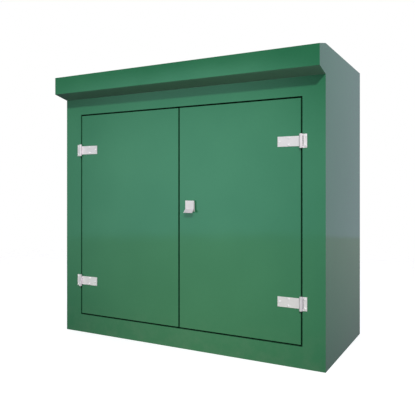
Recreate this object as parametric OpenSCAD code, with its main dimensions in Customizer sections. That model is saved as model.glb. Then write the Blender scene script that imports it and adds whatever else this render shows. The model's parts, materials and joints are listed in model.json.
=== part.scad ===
// Twin-door moulded cabinet that houses a reduced-pressure-zone backflow preventer.
// Millimetres, +Z up. The doors face -Y, and the origin is on the ground at the middle of the footprint.

/* [Cabinet] */
// Width over the side panels
cabinet_w = 1300; // [1260:10:1500]
// Depth from the front face to the back
cabinet_d = 600; // [580:10:760]
// Height to the top of the roof
cabinet_h = 1250; // [1230:10:1400]
// Thickness of the moulded wall
wall_t = 5; // [4:0.5:6]
// How far the canopy stands out of the front face
canopy_reach = 80; // [60:5:100]
// Height of the canopy's vertical front
fascia_h = 80; // [60:1:85]
// Fall of the roof from the front face to the canopy's edge
canopy_fall = 19; // [10:1:30]
// Rise of the canopy's underside from the front face to its edge
soffit_rise = 18; // [8:1:24]
// Thickness of the insulation boards
board_t = 20; // [15:1:25]

/* [Doors] */
// Plain margin at each side of the doors
side_margin = 91; // [85:1:100]
// Plain margin under the doors
sill_h = 85; // [80:1:95]
// Height of the door opening
opening_h = 972; // [960:1:980]
// Gap between a door and the opening
door_gap = 7; // [5:0.5:8]
// Gap between the two doors
meeting_gap = 8; // [5:0.5:9]
// Thickness of a door
door_t = 28; // [26:1:30]
// Width of the flange that the doors close against
stop_w = 20; // [18:1:24]

/* [Hinges] */
// Height of the upper hinges' middle
hinge_top_z = 883; // [800:1:940]
// Height of the lower hinges' middle
hinge_bottom_z = 252; // [200:1:320]
// Length of a hinge strap on the door
strap_l = 91; // [80:1:110]
// Height of a hinge strap
strap_h = 40; // [36:1:48]
// Height of a hinge's frame plate
plate_h = 54; // [52:1:64]

/* [Lock] */
// Distance of the lock from the middle of the cabinet
lock_x = 60; // [54:1:64]
// Height of the lock's spindle
lock_z = 620; // [600:1:660]
// Number of teeth on the lock's pinion
pinion_teeth = 14; // [12:2:16]
// Module of the pinion and racks
tooth_m = 1.5; // [1.4:0.1:1.6]

/* [Pipework] */
// Height of the pipe run
pipe_z = 620; // [600:5:660]
// Outside radius of the pipe
pipe_r = 27; // [26.5:0.1:27]
// Bore radius of the pipe
bore_r = 25; // [24:0.5:25]
// Distance of each riser from the middle
riser_x = 450; // [450:1:452]
// Bend radius of the elbows
bend_r = 60; // [58:1:60]
// Clearance of a pipe in a socket
fit_gap = 0.1; // [0.05:0.01:0.2]
// Air gap between the relief vent and the tundish
air_gap = 40; // [30:1:60]

/* [Hidden] */
$fn = 64;

green = "#3c7c58";
steel = "#d5d3d6";
bronze = "#b58a4c";
copper = "#b87444";

half_w = cabinet_w / 2;
y_front = -(cabinet_d - canopy_reach) / 2;
y_back = y_front + cabinet_d;
y_canopy = y_front - canopy_reach;
fascia_top = cabinet_h - canopy_fall;
fascia_bottom = fascia_top - fascia_h;
soffit_z = fascia_bottom - soffit_rise;

open_x = half_w - side_margin;
open_z0 = sill_h;
open_z1 = sill_h + opening_h;
seal_t = 4;
stop_t = 4;
y_stop = y_front + door_t + seal_t;
flange_t = 6;
flange_w = 60;
anchor_r = 7;
anchor_x = half_w - 40;
anchor_y = cabinet_d / 2 - 40;
y_mid = (y_front + y_back) / 2;

door_x0 = meeting_gap / 2;
door_x1 = open_x - door_gap;
door_z0 = open_z0 + door_gap;
door_z1 = open_z1 - door_gap;
skin_t = 4;
y_door_back = y_front + door_t;

pin_x = open_x - door_gap / 2;
knuckle_r = 7;
y_pin = y_front - knuckle_r - 0.5;
pin_r = 3;
leaf_t = 2.5;
hinge_zs = [hinge_bottom_z, hinge_top_z];
plate_end_x = pin_x + knuckle_r + 15.5;
strap_end_x = pin_x - knuckle_r - strap_l;
screw_r = 2.5;
// Screw places on a strap, from its free end and its middle line, and on a plate
strap_screws = [[9, 0], [46, 13.5], [46, -13.5]];
plate_screw_x = pin_x + 15.3;
plate_screw_z = 18.5;

y_rod = y_stop + stop_t + 2.5;
rod_t = 4;
rod_w = 12;
rod_end_gap = 3;
pitch_r = pinion_teeth * tooth_m / 2;
tooth_out = 0.93 * tooth_m;
tooth_in = 1.27 * tooth_m;
rod_off = pitch_r + tooth_in + rod_w / 2;
clear_z0 = open_z0 + stop_w;
clear_z1 = open_z1 - stop_w;
guide_h = 16;
slip_x = -45;
slip_r = 5;
y_slip = y_rod + slip_r;
slip_l = 170;
slip_knob_z = 80;

y_backboard = y_back - wall_t - board_t - 12;
y_pipe = 110;
socket_d = 20;
valve_x = 292;
valve_half = 60;
strainer_x0 = -232;
strainer_x1 = -82;
check_xs = [-3, 153];
cover_bolt_r = 52.5;
// The relief valve hangs under the zone between the checks. Its heights are from the pipe's axis
relief_x = 75;
neck_z = -58;
relief_seat_z = -92;
relief_face_z = -130;
relief_floor_z = -144;
relief_travel = 8;
relief_bolt_r = 38;
neck_bolt_r = 30;
vent_y = -66;
vent_bend_z = -108;
vent_z = -150;
// Each test cock's place on the front of the run: along X, out in Y and up from the pipe's axis
cock_places = [[-325, -48, 0], [-62, -46, 0], [relief_x, -38, 6], [214, -42, 2]];
tundish_top = pipe_z + vent_z - air_gap;
tundish_h = 70;
// Pipes held by the wall brackets: x, y, pipe radius, height
held_pipes = [[-riser_x, y_pipe, pipe_r, 300], [riser_x, y_pipe, pipe_r, 300],
              [relief_x, y_pipe + vent_y, 20, 200]];

module block(low, high) {
    translate(low) cube(high - low);
}

module x_rod(x0, x1, r) {
    translate([x0, 0, 0]) rotate([0, 90, 0]) cylinder(h = x1 - x0, r = r);
}

module y_rod_from(y0, y1, r) {
    translate([0, y0, 0]) rotate([-90, 0, 0]) cylinder(h = y1 - y0, r = r);
}

module z_rod(z0, z1, r) {
    translate([0, 0, z0]) cylinder(h = z1 - z0, r = r);
}

// A hexagonal bar along X, measured across its flats
module x_hex(x0, x1, across) {
    translate([x0, 0, 0]) rotate([0, 90, 0]) cylinder(h = x1 - x0, r = across / sqrt(3), $fn = 6);
}

module both_sides() {
    children();
    mirror([1, 0, 0]) children();
}

// Places a child on the pipe run, with the run's axis as X
module on_run() {
    translate([0, y_pipe, pipe_z]) children();
}

// Extrudes a side view, drawn as (y, z), across x0 to x1
module across(x0, x1) {
    translate([x0, 0, 0]) rotate([90, 0, 90]) linear_extrude(x1 - x0) children();
}

// A round bar that follows a coil about Z
module coil(mean_r, wire_r, z0, z1, turns) {
    sides = 6;
    per_turn = 14;
    last = turns * per_turn;
    points = [for (i = [0:last]) for (j = [0:sides - 1])
        let (turn = 360 * i / per_turn, a = 360 * j / sides, r = mean_r + wire_r * cos(a))
        [r * cos(turn), r * sin(turn), z0 + (z1 - z0) * i / last + wire_r * sin(a)]];
    skin = [for (i = [0:last - 1]) for (j = [0:sides - 1])
        let (k = (j + 1) % sides, a = i * sides)
        each [[a + j, a + sides + j, a + sides + k], [a + j, a + sides + k, a + k]]];
    ends = [[for (j = [0:sides - 1]) j], [for (j = [sides - 1:-1:0]) last * sides + j]];
    polyhedron(points, concat(skin, ends));
}

// ---- Cabinet ----

module cabinet_side_view() {
    polygon([[y_front, 0], [y_back, 0], [y_back, cabinet_h], [y_front, cabinet_h],
             [y_canopy, fascia_top], [y_canopy, fascia_bottom], [y_front, soffit_z]]);
}

// The hollow keeps the wall's thickness square to each sloping face
module hollow_side_view() {
    roof_slope = canopy_fall / canopy_reach;
    soffit_slope = soffit_rise / canopy_reach;
    roof_t = wall_t * sqrt(1 + roof_slope * roof_slope);
    soffit_t = wall_t * sqrt(1 + soffit_slope * soffit_slope);
    polygon([[y_front + wall_t, -1], [y_back - wall_t, -1], [y_back - wall_t, cabinet_h - wall_t],
             [y_front + (roof_t - wall_t) / roof_slope, cabinet_h - wall_t],
             [y_canopy + wall_t, fascia_top + wall_t * roof_slope - roof_t],
             [y_canopy + wall_t, fascia_bottom - wall_t * soffit_slope + soffit_t],
             [y_front + wall_t, soffit_z - wall_t * soffit_slope + soffit_t]]);
}

// The return around the doors, with the flange that they close against
module door_rebate() {
    difference() {
        block([-open_x - stop_t, y_front + 1, open_z0 - stop_t],
              [open_x + stop_t, y_stop + stop_t, open_z1 + stop_t]);
        block([-open_x, y_front, open_z0], [open_x, y_stop, open_z1]);
        block([-open_x + stop_w, y_front, clear_z0], [open_x - stop_w, y_back, clear_z1]);
    }
}

module base_flange() {
    inner_x = half_w - wall_t - flange_w;
    difference() {
        block([-half_w + 1, y_front + 1, 0], [half_w - 1, y_back - 1, flange_t]);
        block([-inner_x, y_front + wall_t + flange_w, -1],
              [inner_x, y_back - wall_t - flange_w, flange_t + 1]);
        for (x = [-anchor_x, anchor_x]) for (y = [-anchor_y, anchor_y])
            translate([x, y_mid + y, 0]) z_rod(-1, flange_t + 1, anchor_r);
        for (y = [-anchor_y, anchor_y])
            translate([0, y_mid + y, 0]) z_rod(-1, flange_t + 1, anchor_r);
    }
}

module shell() {
    color(green) difference() {
        union() {
            difference() {
                across(-half_w, half_w) cabinet_side_view();
                across(-half_w + wall_t, half_w - wall_t) hollow_side_view();
                block([-open_x, y_front - 1, open_z0], [open_x, y_front + wall_t + 1, open_z1]);
            }
            door_rebate();
            base_flange();
        }
        plate_screws() y_rod_from(-1, wall_t + 1, screw_r + 0.1);
    }
}

module door_seal() {
    lip = 10;
    inset = 5;
    color("#1c1d1f") difference() {
        block([-open_x + inset, y_door_back + 0.1, open_z0 + inset],
              [open_x - inset, y_stop, open_z1 - inset]);
        block([-open_x + inset + lip, y_front, open_z0 + inset + lip],
              [open_x - inset - lip, y_back, open_z1 - inset - lip]);
    }
}

module insulation_panels() {
    in_x = half_w - wall_t;
    y0 = y_front + 60;
    y1 = y_back - wall_t;
    z1 = cabinet_h - wall_t;
    color("#e9e6da") {
        block([-in_x, y1 - board_t, flange_t], [in_x, y1, z1]);
        block([-in_x, y0, z1 - board_t], [in_x, y1 - board_t - 0.2, z1]);
        both_sides()
            block([in_x - board_t, y0, flange_t], [in_x, y1 - board_t - 0.2, z1 - board_t - 0.2]);
    }
}

module backboard() {
    color("#c9a26b") block([-560, y_backboard, 60], [560, y_backboard + 12, 1150]);
}

// ---- Hinges ----

// Children are drawn at each frame plate's screws, on the front face
module plate_screws() {
    both_sides() for (z = hinge_zs) for (s = [-1, 1])
        translate([plate_screw_x, y_front, z + s * plate_screw_z]) children();
}

module screw(grip) {
    difference() {
        union() {
            y_rod_from(0, grip, screw_r);
            translate([0, -1.2, 0]) y_rod_from(0, 1.2, 4.5);
            translate([0, -2.4, 0]) rotate([-90, 0, 0]) cylinder(h = 1.2, r1 = 3.2, r2 = 4.5);
        }
        translate([0, -3, 0]) rotate([-90, 0, 0]) cylinder(h = 2, r = 1.6, $fn = 6);
    }
}

// One hinge's frame plate on the right: the plate and its two end knuckles
module hinge_plate() {
    knuckle_h = (plate_h - strap_h) / 2 - 0.2;
    for (end = [-1, 1]) mirror([0, 0, end < 0 ? 1 : 0])
        difference() {
            union() {
                translate([pin_x, y_pin, plate_h / 2 - knuckle_h]) cylinder(h = knuckle_h, r = knuckle_r);
                block([pin_x, y_front - leaf_t, plate_h / 2 - knuckle_h],
                      [plate_end_x, y_front, plate_h / 2]);
                block([pin_x + knuckle_r + 0.6, y_front - leaf_t, 0], [plate_end_x, y_front, plate_h / 2]);
            }
            translate([pin_x, y_pin, 0]) cylinder(h = plate_h, r = pin_r + 0.02);
            translate([plate_screw_x, y_front, plate_screw_z]) y_rod_from(-9, 9, screw_r + 0.1);
        }
}

module hinge_plates() {
    color(steel) both_sides() at_hinges() hinge_plate();
}

// The four pins with their heads, and the plates' screws
module hinge_fixings() {
    color("#bcbcbf") both_sides() at_hinges() translate([pin_x, y_pin, 0]) {
        z_rod(-plate_h / 2, plate_h / 2, pin_r);
        z_rod(plate_h / 2, plate_h / 2 + 1, 4.5);
        z_rod(-plate_h / 2 - 1, -plate_h / 2, 4.5);
    }
    color("#c4c3c6") plate_screws() translate([0, -leaf_t, 0]) screw(leaf_t + wall_t);
}

// One strap on the right door, with the knuckle that turns on the pin
module hinge_strap() {
    difference() {
        union() {
            translate([pin_x, y_pin, -strap_h / 2]) cylinder(h = strap_h, r = knuckle_r);
            block([strap_end_x, y_front - leaf_t, -strap_h / 2], [pin_x, y_front - 0.01, strap_h / 2]);
        }
        translate([pin_x, y_pin, -strap_h]) cylinder(h = 2 * strap_h, r = pin_r + 0.05);
        strap_screw_places() y_rod_from(-9, 9, screw_r + 0.1);
    }
}

module strap_screw_places() {
    for (s = strap_screws) translate([strap_end_x + s[0], y_front, s[1]]) children();
}

// Repeats a child, drawn at height 0, for the lower and the upper hinge
module at_hinges() {
    for (z = hinge_zs) translate([0, 0, z]) children();
}

module strap_screws_set() {
    at_hinges() strap_screw_places() translate([0, -leaf_t, 0]) screw(leaf_t + skin_t - 0.2);
}

// ---- Doors ----

// The outer tray of a right-hand door, open at the back
module door_skin() {
    difference() {
        block([door_x0, y_front, door_z0], [door_x1, y_door_back, door_z1]);
        block([door_x0 + skin_t, y_front + skin_t, door_z0 + skin_t],
              [door_x1 - skin_t, y_back, door_z1 - skin_t]);
        at_hinges() strap_screw_places() y_rod_from(-1, skin_t + 1, screw_r + 0.1);
    }
}

// The insulated panel that closes the tray
module door_liner() {
    gap = 0.2;
    block([door_x0 + skin_t + gap, y_front + skin_t + gap, door_z0 + skin_t + gap],
          [door_x1 - skin_t - gap, y_door_back, door_z1 - skin_t - gap]);
}

sleeve_r = 12;
spindle_r = 8;

module lock_hole() {
    translate([lock_x, 0, lock_z]) y_rod_from(y_front - 1, y_back, sleeve_r + 0.2);
}

module right_door_skin() {
    color(green) difference() {
        door_skin();
        lock_hole();
    }
}

module right_door_liner() {
    color("#dcdcd2") difference() {
        door_liner();
        lock_hole();
    }
}

module left_door_skin() {
    color(green) mirror([1, 0, 0]) door_skin();
}

module left_door_liner() {
    color("#dcdcd2") mirror([1, 0, 0]) door_liner();
}

module right_hinge_straps() {
    color(steel) at_hinges() hinge_strap();
}

module left_hinge_straps() {
    color(steel) mirror([1, 0, 0]) at_hinges() hinge_strap();
}

module right_hinge_screws() {
    color("#c4c3c6") strap_screws_set();
}

module left_hinge_screws() {
    color("#c4c3c6") mirror([1, 0, 0]) strap_screws_set();
}

// ---- Lock ----

cover_w = 42;
cover_top = lock_z + 26;
cover_bottom = lock_z - 26;
cover_pin_y = y_front - 7;
cover_pin_z = cover_top - 3;
cover_pin_r = 1.5;
case_half_w = rod_off + rod_w / 2 + 2.6;
case_half_h = 30;
y_case_back = y_rod + rod_t + 3;

// Plate on the door's face, its sleeve through the door and the cover's middle knuckle and pin
module lock_escutcheon() {
    color(steel) {
        difference() {
            union() {
                block([lock_x - 19, y_front - leaf_t, lock_z - 22], [lock_x + 19, y_front, lock_z + 25]);
                translate([lock_x, 0, lock_z]) y_rod_from(y_front - 5, y_door_back - 0.1, sleeve_r);
                translate([0, cover_pin_y, cover_pin_z]) x_rod(lock_x - 9, lock_x + 9, 3);
                block([lock_x - 9, cover_pin_y, cover_pin_z - 3],
                      [lock_x + 9, y_front - 1, cover_pin_z + 1]);
            }
            translate([lock_x, 0, lock_z]) y_rod_from(y_front - 9, y_back, spindle_r + 0.05);
            translate([0, cover_pin_y, cover_pin_z]) x_rod(lock_x - 30, lock_x + 30, cover_pin_r + 0.02);
        }
        translate([0, cover_pin_y, cover_pin_z])
            x_rod(lock_x - cover_w / 2, lock_x + cover_w / 2, cover_pin_r);
    }
}

// Weather cover: a flat plate with a lip bent forward at its foot
module lock_cover() {
    plate_t = 2;
    y0 = cover_pin_y - 3.1;
    lip = 16;
    side = [[y0, cover_top], [y0 - plate_t, cover_top], [y0 - plate_t, cover_bottom + lip],
            [y0 - plate_t - lip, cover_bottom], [y0 - plate_t - lip + 2.8, cover_bottom],
            [y0, cover_bottom + lip - 0.8]];
    color(steel) difference() {
        union() {
            across(lock_x - cover_w / 2, lock_x + cover_w / 2) polygon(side);
            for (x0 = [lock_x - cover_w / 2, lock_x + 9.3])
                translate([0, cover_pin_y, cover_pin_z]) x_rod(x0, x0 + cover_w / 2 - 9.3, 3.3);
        }
        translate([0, cover_pin_y, cover_pin_z]) x_rod(0, 2 * lock_x, cover_pin_r + 0.05);
    }
}

// Involute tooth's half angle at radius r, for a pressure angle of 20 degrees
base_r = pitch_r * cos(20);
function involute(r) = let (a = acos(min(1, base_r / r))) tan(a) * 180 / PI - a;
function half_tooth(r) = 90 / pinion_teeth - 0.7 + involute(pitch_r) - involute(max(r, base_r));
pinion_rs = [pitch_r - tooth_in, base_r, pitch_r, pitch_r + tooth_out / 2, pitch_r + tooth_out];

module pinion_outline() {
    polygon([for (t = [0:pinion_teeth - 1]) let (mid = 360 * t / pinion_teeth) each concat(
        [for (r = pinion_rs) r * [cos(mid - half_tooth(r)), sin(mid - half_tooth(r))]],
        [for (i = [len(pinion_rs) - 1:-1:0]) let (r = pinion_rs[i])
            r * [cos(mid + half_tooth(r)), sin(mid + half_tooth(r))]])]);
}

module lock_spindle() {
    color("#9a9a9c") translate([lock_x, 0, lock_z]) {
        difference() {
            y_rod_from(y_front - 4, y_rod, spindle_r);
            y_rod_from(y_front - 5, y_front + 2, 6.2);
        }
        translate([0, y_front - 3, 0]) rotate([-90, 90, 0]) cylinder(h = 6, r = 4.6, $fn = 3);
        translate([0, y_rod + rod_t, 0]) rotate([90, 0, 0]) linear_extrude(rod_t) pinion_outline();
        y_rod_from(y_rod + rod_t, y_case_back + 11, 6);
    }
}

// The tongue hangs at rest, and turns behind the left door when locked
module lock_cam() {
    y0 = y_case_back + 1;
    tip_y = y_door_back + 3.5;
    reach = 80;
    step = 44;
    color("#b9babd") translate([lock_x, 0, lock_z]) difference() {
        union() {
            y_rod_from(y0, y0 + 5, 14);
            block([-9, y0, -step], [9, y0 + 4, 0]);
            block([-9, tip_y, -step - 4], [9, y0 + 4, -step]);
            block([-9, tip_y, -reach], [9, tip_y + 4, -step]);
            translate([0, y0 + 5.2, 0]) rotate([-90, 0, 0]) cylinder(h = 5, r = 9.5, $fn = 6);
            y_rod_from(y0 + 4, y0 + 6, 9);
        }
        y_rod_from(y_front, y_back, 6.05);
    }
}

// Toothed flat bar on the left of the pinion, from z0 up to z1
module rack_bar(z0, z1) {
    pitch = PI * tooth_m;
    half = pitch / 4 - 0.15;
    root = -pitch_r - tooth_in;
    lean = tan(20);
    bar = [[root - rod_w, z0], [root, z0], [root, z1], [root - rod_w, z1]];
    translate([lock_x, y_rod + rod_t, 0]) rotate([90, 0, 0]) linear_extrude(rod_t) {
        polygon(bar);
        for (k = [-5:1]) translate([-pitch_r, lock_z + (k + 0.5) * pitch]) polygon([
            [-tooth_in - 0.5, -half - tooth_in * lean], [tooth_out, -half + tooth_out * lean],
            [tooth_out, half - tooth_out * lean], [-tooth_in - 0.5, half + tooth_in * lean]]);
    }
}

rack_below = 5 * PI * tooth_m;

module upper_rod() {
    color("#c9cacc") rack_bar(lock_z - rack_below, clear_z1 - rod_end_gap);
}

// The lower rod is the upper one turned half round about the spindle
module lower_rod() {
    low_end = lock_z - clear_z0 - rod_end_gap;
    color("#c9cacc") translate([lock_x, 0, lock_z]) rotate([0, 180, 0]) translate([-lock_x, 0, -lock_z])
        rack_bar(lock_z - rack_below, lock_z + low_end);
}

// Slot that a rod slides in, a little larger than the rod
module rod_slot(x, z0, z1) {
    block([x - rod_w / 2 - 0.3, y_rod - 0.3, z0], [x + rod_w / 2 + 0.3, y_rod + rod_t + 0.3, z1]);
}

module lock_gearcase() {
    color("#a7a9ac") difference() {
        block([lock_x - case_half_w, y_door_back, lock_z - case_half_h],
              [lock_x + case_half_w, y_case_back, lock_z + case_half_h]);
        block([lock_x - rod_off - rod_w / 2 - 0.3, y_rod - 0.3, lock_z - case_half_h + 2],
              [lock_x + rod_off + rod_w / 2 + 0.3, y_rod + rod_t + 0.3, lock_z + case_half_h - 2]);
        rod_slot(lock_x - rod_off, lock_z, lock_z + 2 * case_half_h);
        rod_slot(lock_x + rod_off, lock_z - 2 * case_half_h, lock_z);
        translate([lock_x, 0, lock_z]) y_rod_from(y_front, y_rod, spindle_r + 0.05);
        translate([lock_x, 0, lock_z]) y_rod_from(y_rod, y_back, 6.05);
    }
}

module rod_guides() {
    places = [[lock_x - rod_off, 820], [lock_x - rod_off, 990], [lock_x + rod_off, 420],
              [lock_x + rod_off, 150]];
    color("#8f9194") for (p = places) difference() {
        union() {
            block([p[0] - 10, y_door_back, p[1] - guide_h / 2],
                  [p[0] + 10, y_rod + rod_t + 3, p[1] + guide_h / 2]);
            block([p[0] - 18, y_door_back, p[1] - guide_h / 2],
                  [p[0] + 18, y_door_back + 2, p[1] + guide_h / 2]);
        }
        rod_slot(p[0], p[1] - guide_h, p[1] + guide_h);
    }
}

// Wear plates behind the stop flange, where the rods and slip bolts end
module rod_keeps() {
    keep_t = 1.5;
    color(steel) for (x = [lock_x - rod_off, slip_x]) block(
        [x - 16, y_stop + stop_t, clear_z1 + 2], [x + 16, y_stop + stop_t + keep_t, open_z1 - 1]);
    color(steel) for (x = [lock_x + rod_off, slip_x]) block(
        [x - 16, y_stop + stop_t, open_z0 + 1], [x + 16, y_stop + stop_t + keep_t, clear_z0 - 2]);
}

module slip_bolt(z_tip, up) {
    z_end = z_tip - up * slip_l;
    translate([slip_x, y_slip, 0]) {
        z_rod(min(z_tip, z_end), max(z_tip, z_end), slip_r);
        translate([0, 0, z_tip - up * slip_knob_z]) y_rod_from(0, 22, 4);
        translate([0, 22, z_tip - up * slip_knob_z]) sphere(r = 8);
    }
}

module left_top_bolt() {
    color(steel) slip_bolt(clear_z1 - rod_end_gap, 1);
}

module left_bottom_bolt() {
    color(steel) slip_bolt(clear_z0 + rod_end_gap, -1);
}

module left_bolt_guides() {
    tops = [for (d = [30, 135]) clear_z1 - rod_end_gap - d];
    lows = [for (d = [30, 135]) clear_z0 + rod_end_gap + d];
    color("#8f9194") for (z = concat(tops, lows)) translate([slip_x, 0, z]) difference() {
        union() {
            block([-10, y_door_back, -guide_h / 2], [10, y_slip + slip_r + 3, guide_h / 2]);
            block([-20, y_door_back, -guide_h / 2], [20, y_door_back + 2, guide_h / 2]);
        }
        translate([0, y_slip, 0]) z_rod(-guide_h, guide_h, slip_r + 0.05);
    }
}

// ---- Pipework ----

module riser() {
    color(copper) translate([-riser_x, y_pipe, 0]) difference() {
        z_rod(30, pipe_z - bend_r - 0.2, pipe_r);
        z_rod(-1, pipe_z, bore_r);
    }
}

module pipe_risers() {
    both_sides() riser();
}

module elbow_bend(r) {
    translate([bend_r - riser_x, y_pipe, pipe_z - bend_r]) rotate([90, 0, 0]) rotate([0, 0, 90])
        rotate_extrude(angle = 90) translate([bend_r, 0]) circle(r = r);
}

module elbow() {
    x_end = bend_r - riser_x;
    z_end = pipe_z - bend_r;
    color(copper) difference() {
        union() {
            elbow_bend(pipe_r + 3);
            translate([-riser_x, y_pipe, 0]) z_rod(z_end - socket_d, z_end, pipe_r + 3);
            translate([0, y_pipe, pipe_z]) x_rod(x_end, x_end + socket_d, pipe_r + 3);
        }
        elbow_bend(bore_r);
        translate([-riser_x, y_pipe, 0]) z_rod(z_end - socket_d - 1, z_end, pipe_r + fit_gap);
        translate([0, y_pipe, pipe_z]) x_rod(x_end, x_end + socket_d + 1, pipe_r + fit_gap);
    }
}

module pipe_elbows() {
    both_sides() elbow();
}

spigot_r = 29.8;
spigot_l = 26;

// The union beside a valve, and the screwed adaptor at a riser's foot
module union_set() {
    face = -valve_x - valve_half;
    color(bronze) on_run() {
        difference() {
            union() {
                x_rod(bend_r - riser_x + 0.2, face - 0.1, pipe_r);
                x_rod(face - 8, face - 0.1, pipe_r + 6.5);
            }
            x_rod(-riser_x, face + 1, bore_r);
        }
        difference() {
            union() {
                x_hex(face - 14, face + 13, 80);
                x_rod(face - 16, face - 14, pipe_r + 8);
            }
            x_rod(face - 20, face + 20, pipe_r + fit_gap);
            x_rod(face - 8.2, face + 20, pipe_r + 7.1);
        }
    }
    color(bronze) translate([-riser_x, y_pipe, 0]) difference() {
        union() {
            z_rod(0, spigot_l, spigot_r);
            translate([0, 0, spigot_l]) cylinder(h = 22, r = 42, $fn = 6);
        }
        z_rod(-1, 30 - 0.2, bore_r);
        z_rod(30 - 0.2, 50, pipe_r + fit_gap);
    }
}

module pipe_unions() {
    both_sides() union_set();
}

ball_r = 31;
stem_r = 7;

// Ball valve on the left of the run; a tapped one has a boss for a test cock
module valve_body(tapped) {
    color(bronze) on_run() difference() {
        union() {
            translate([-valve_x, 0, 0]) {
                x_rod(-valve_half, -40, pipe_r + 7);
                x_hex(-44, -28, 78);
                x_rod(-28, 30, 44);
                translate([30, 0, 0]) rotate([0, 90, 0]) cylinder(h = 8, r1 = 44, r2 = 38);
                x_hex(36, valve_half, 78);
                z_rod(0, 62, 13);
                z_rod(40, 50, 18);
            }
            if (tapped) translate([cock_places[0][0], 0, 0]) y_rod_from(cock_places[0][1], 0, 9);
        }
        translate([-valve_x, 0, 0]) {
            x_rod(-valve_half - 1, valve_half + 1, bore_r);
            x_rod(-27, 27, 34);
            x_rod(valve_half - 18, valve_half + 1, pipe_r + fit_gap);
            z_rod(0, 70, stem_r + 0.05);
        }
        if (tapped) translate([cock_places[0][0], 0, 0]) y_rod_from(cock_places[0][1] - 1, -20, 5);
    }
}

module inlet_valve_body() {
    valve_body(true);
}

module outlet_valve_body() {
    mirror([1, 0, 0]) valve_body(false);
}

module valve_ball() {
    color("#cfd0d2") on_run() translate([-valve_x, 0, 0]) difference() {
        union() {
            sphere(r = ball_r);
            z_rod(20, 66, stem_r);
            z_rod(60, 79, 5);
        }
        x_rod(-ball_r - 1, ball_r + 1, bore_r - 0.5);
    }
}

module inlet_valve_ball() {
    valve_ball();
}

module outlet_valve_ball() {
    mirror([1, 0, 0]) valve_ball();
}

// Lever that lies along the pipe when the valve is open, with its grip and nut
module valve_handle() {
    lever = [[16, 66], [-34, 66], [-52, 84], [-168, 84], [-168, 88], [-54, 88], [-36, 70], [16, 70]];
    color("#2c5fa8") on_run() translate([-valve_x, 0, 0]) {
        difference() {
            union() {
                translate([0, 12, 0]) rotate([90, 0, 0]) linear_extrude(24) polygon(lever);
                block([-172, -14, 81.5], [-62, 14, 90.5]);
            }
            z_rod(60, 80, 5.05);
        }
        difference() {
            translate([0, 0, 70.1]) cylinder(h = 6, r = 9.5, $fn = 6);
            z_rod(60, 80, 5.05);
        }
    }
}

module inlet_valve_handle() {
    valve_handle();
}

module outlet_valve_handle() {
    mirror([1, 0, 0]) valve_handle();
}

seat_lip_z = 12;

// Seats of the two ball valves, and the seat rings pressed into the checks
module seat_rings() {
    color("#ece9df") on_run() both_sides() translate([-valve_x, 0, 0]) both_sides() difference() {
        x_rod(19.5, 26.9, 33.8);
        x_rod(19, 28, bore_r);
    }
    color("#ece9df") on_run() for (x = check_xs) translate([x, 0, 0]) difference() {
        union() {
            z_rod(-3, 8.1, 29.9);
            z_rod(8.1, seat_lip_z, 34);
        }
        z_rod(-4, seat_lip_z + 1, 23);
    }
}

branch_x = -192;
branch_l = 112;

// Places a child with its Z along the strainer's sloping branch
module on_branch() {
    on_run() translate([branch_x, 0, 0]) rotate([0, 135, 0]) children();
}

module strainer_body() {
    color(bronze) difference() {
        union() {
            on_run() {
                x_rod(strainer_x0 - 17, strainer_x1 + 17, pipe_r);
                x_rod(strainer_x0 + 10, strainer_x1 - 10, 35);
                x_hex(strainer_x0, strainer_x0 + 20, 74);
                x_hex(strainer_x1 - 20, strainer_x1, 74);
            }
            on_branch() z_rod(0, branch_l, 29);
            on_branch() z_rod(branch_l - 10, branch_l, 33);
        }
        on_run() x_rod(strainer_x0 - 20, strainer_x1 + 20, bore_r);
        on_branch() z_rod(0, branch_l + 1, 23);
    }
}

module strainer_screen() {
    color("#c8c9cb") on_branch() difference() {
        z_rod(24, branch_l - 1, 21.5);
        z_rod(23, branch_l, 20.5);
    }
}

module strainer_cap() {
    color(bronze) on_branch() {
        z_rod(branch_l + 0.1, branch_l + 12, 33);
        translate([0, 0, branch_l + 12]) cylinder(h = 12, r = 17, $fn = 6);
    }
}

// ---- Reduced-pressure-zone valve ----

// A round bar between two points of the run's XZ plane
module slanted(from, to, r) {
    d = to - from;
    translate([from[0], 0, from[1]]) rotate([0, atan2(d[0], d[1]), 0]) cylinder(h = norm(d), r = r);
}

chamber_top = 66;

module rpz_outside() {
    x_hex(strainer_x1, strainer_x1 + 22, 82);
    x_rod(strainer_x1 + 10, check_xs[0], 37);
    for (x = check_xs) translate([x, 0, 0]) {
        z_rod(-40, chamber_top, 46);
        translate([0, 0, -52]) cylinder(h = 12, r1 = 32, r2 = 46);
        z_rod(chamber_top - 10, chamber_top, 60);
    }
    slanted([check_xs[0] + 8, 26], [check_xs[1] - 8, -14], 30);
    slanted([check_xs[1], 24], [222, 0], 30);
    x_rod(200, 232, 36);
    x_rod(232, 249, pipe_r);
    translate([relief_x, 0, 0]) {
        z_rod(neck_z, 0, 22);
        z_rod(neck_z, neck_z + 9, 38);
    }
    for (i = [1:3]) translate([cock_places[i][0], 0, cock_places[i][2]])
        y_rod_from(cock_places[i][1], 0, 10);
    translate([check_xs[0], 0, 0]) z_rod(-62, -48, 9);
}

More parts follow.
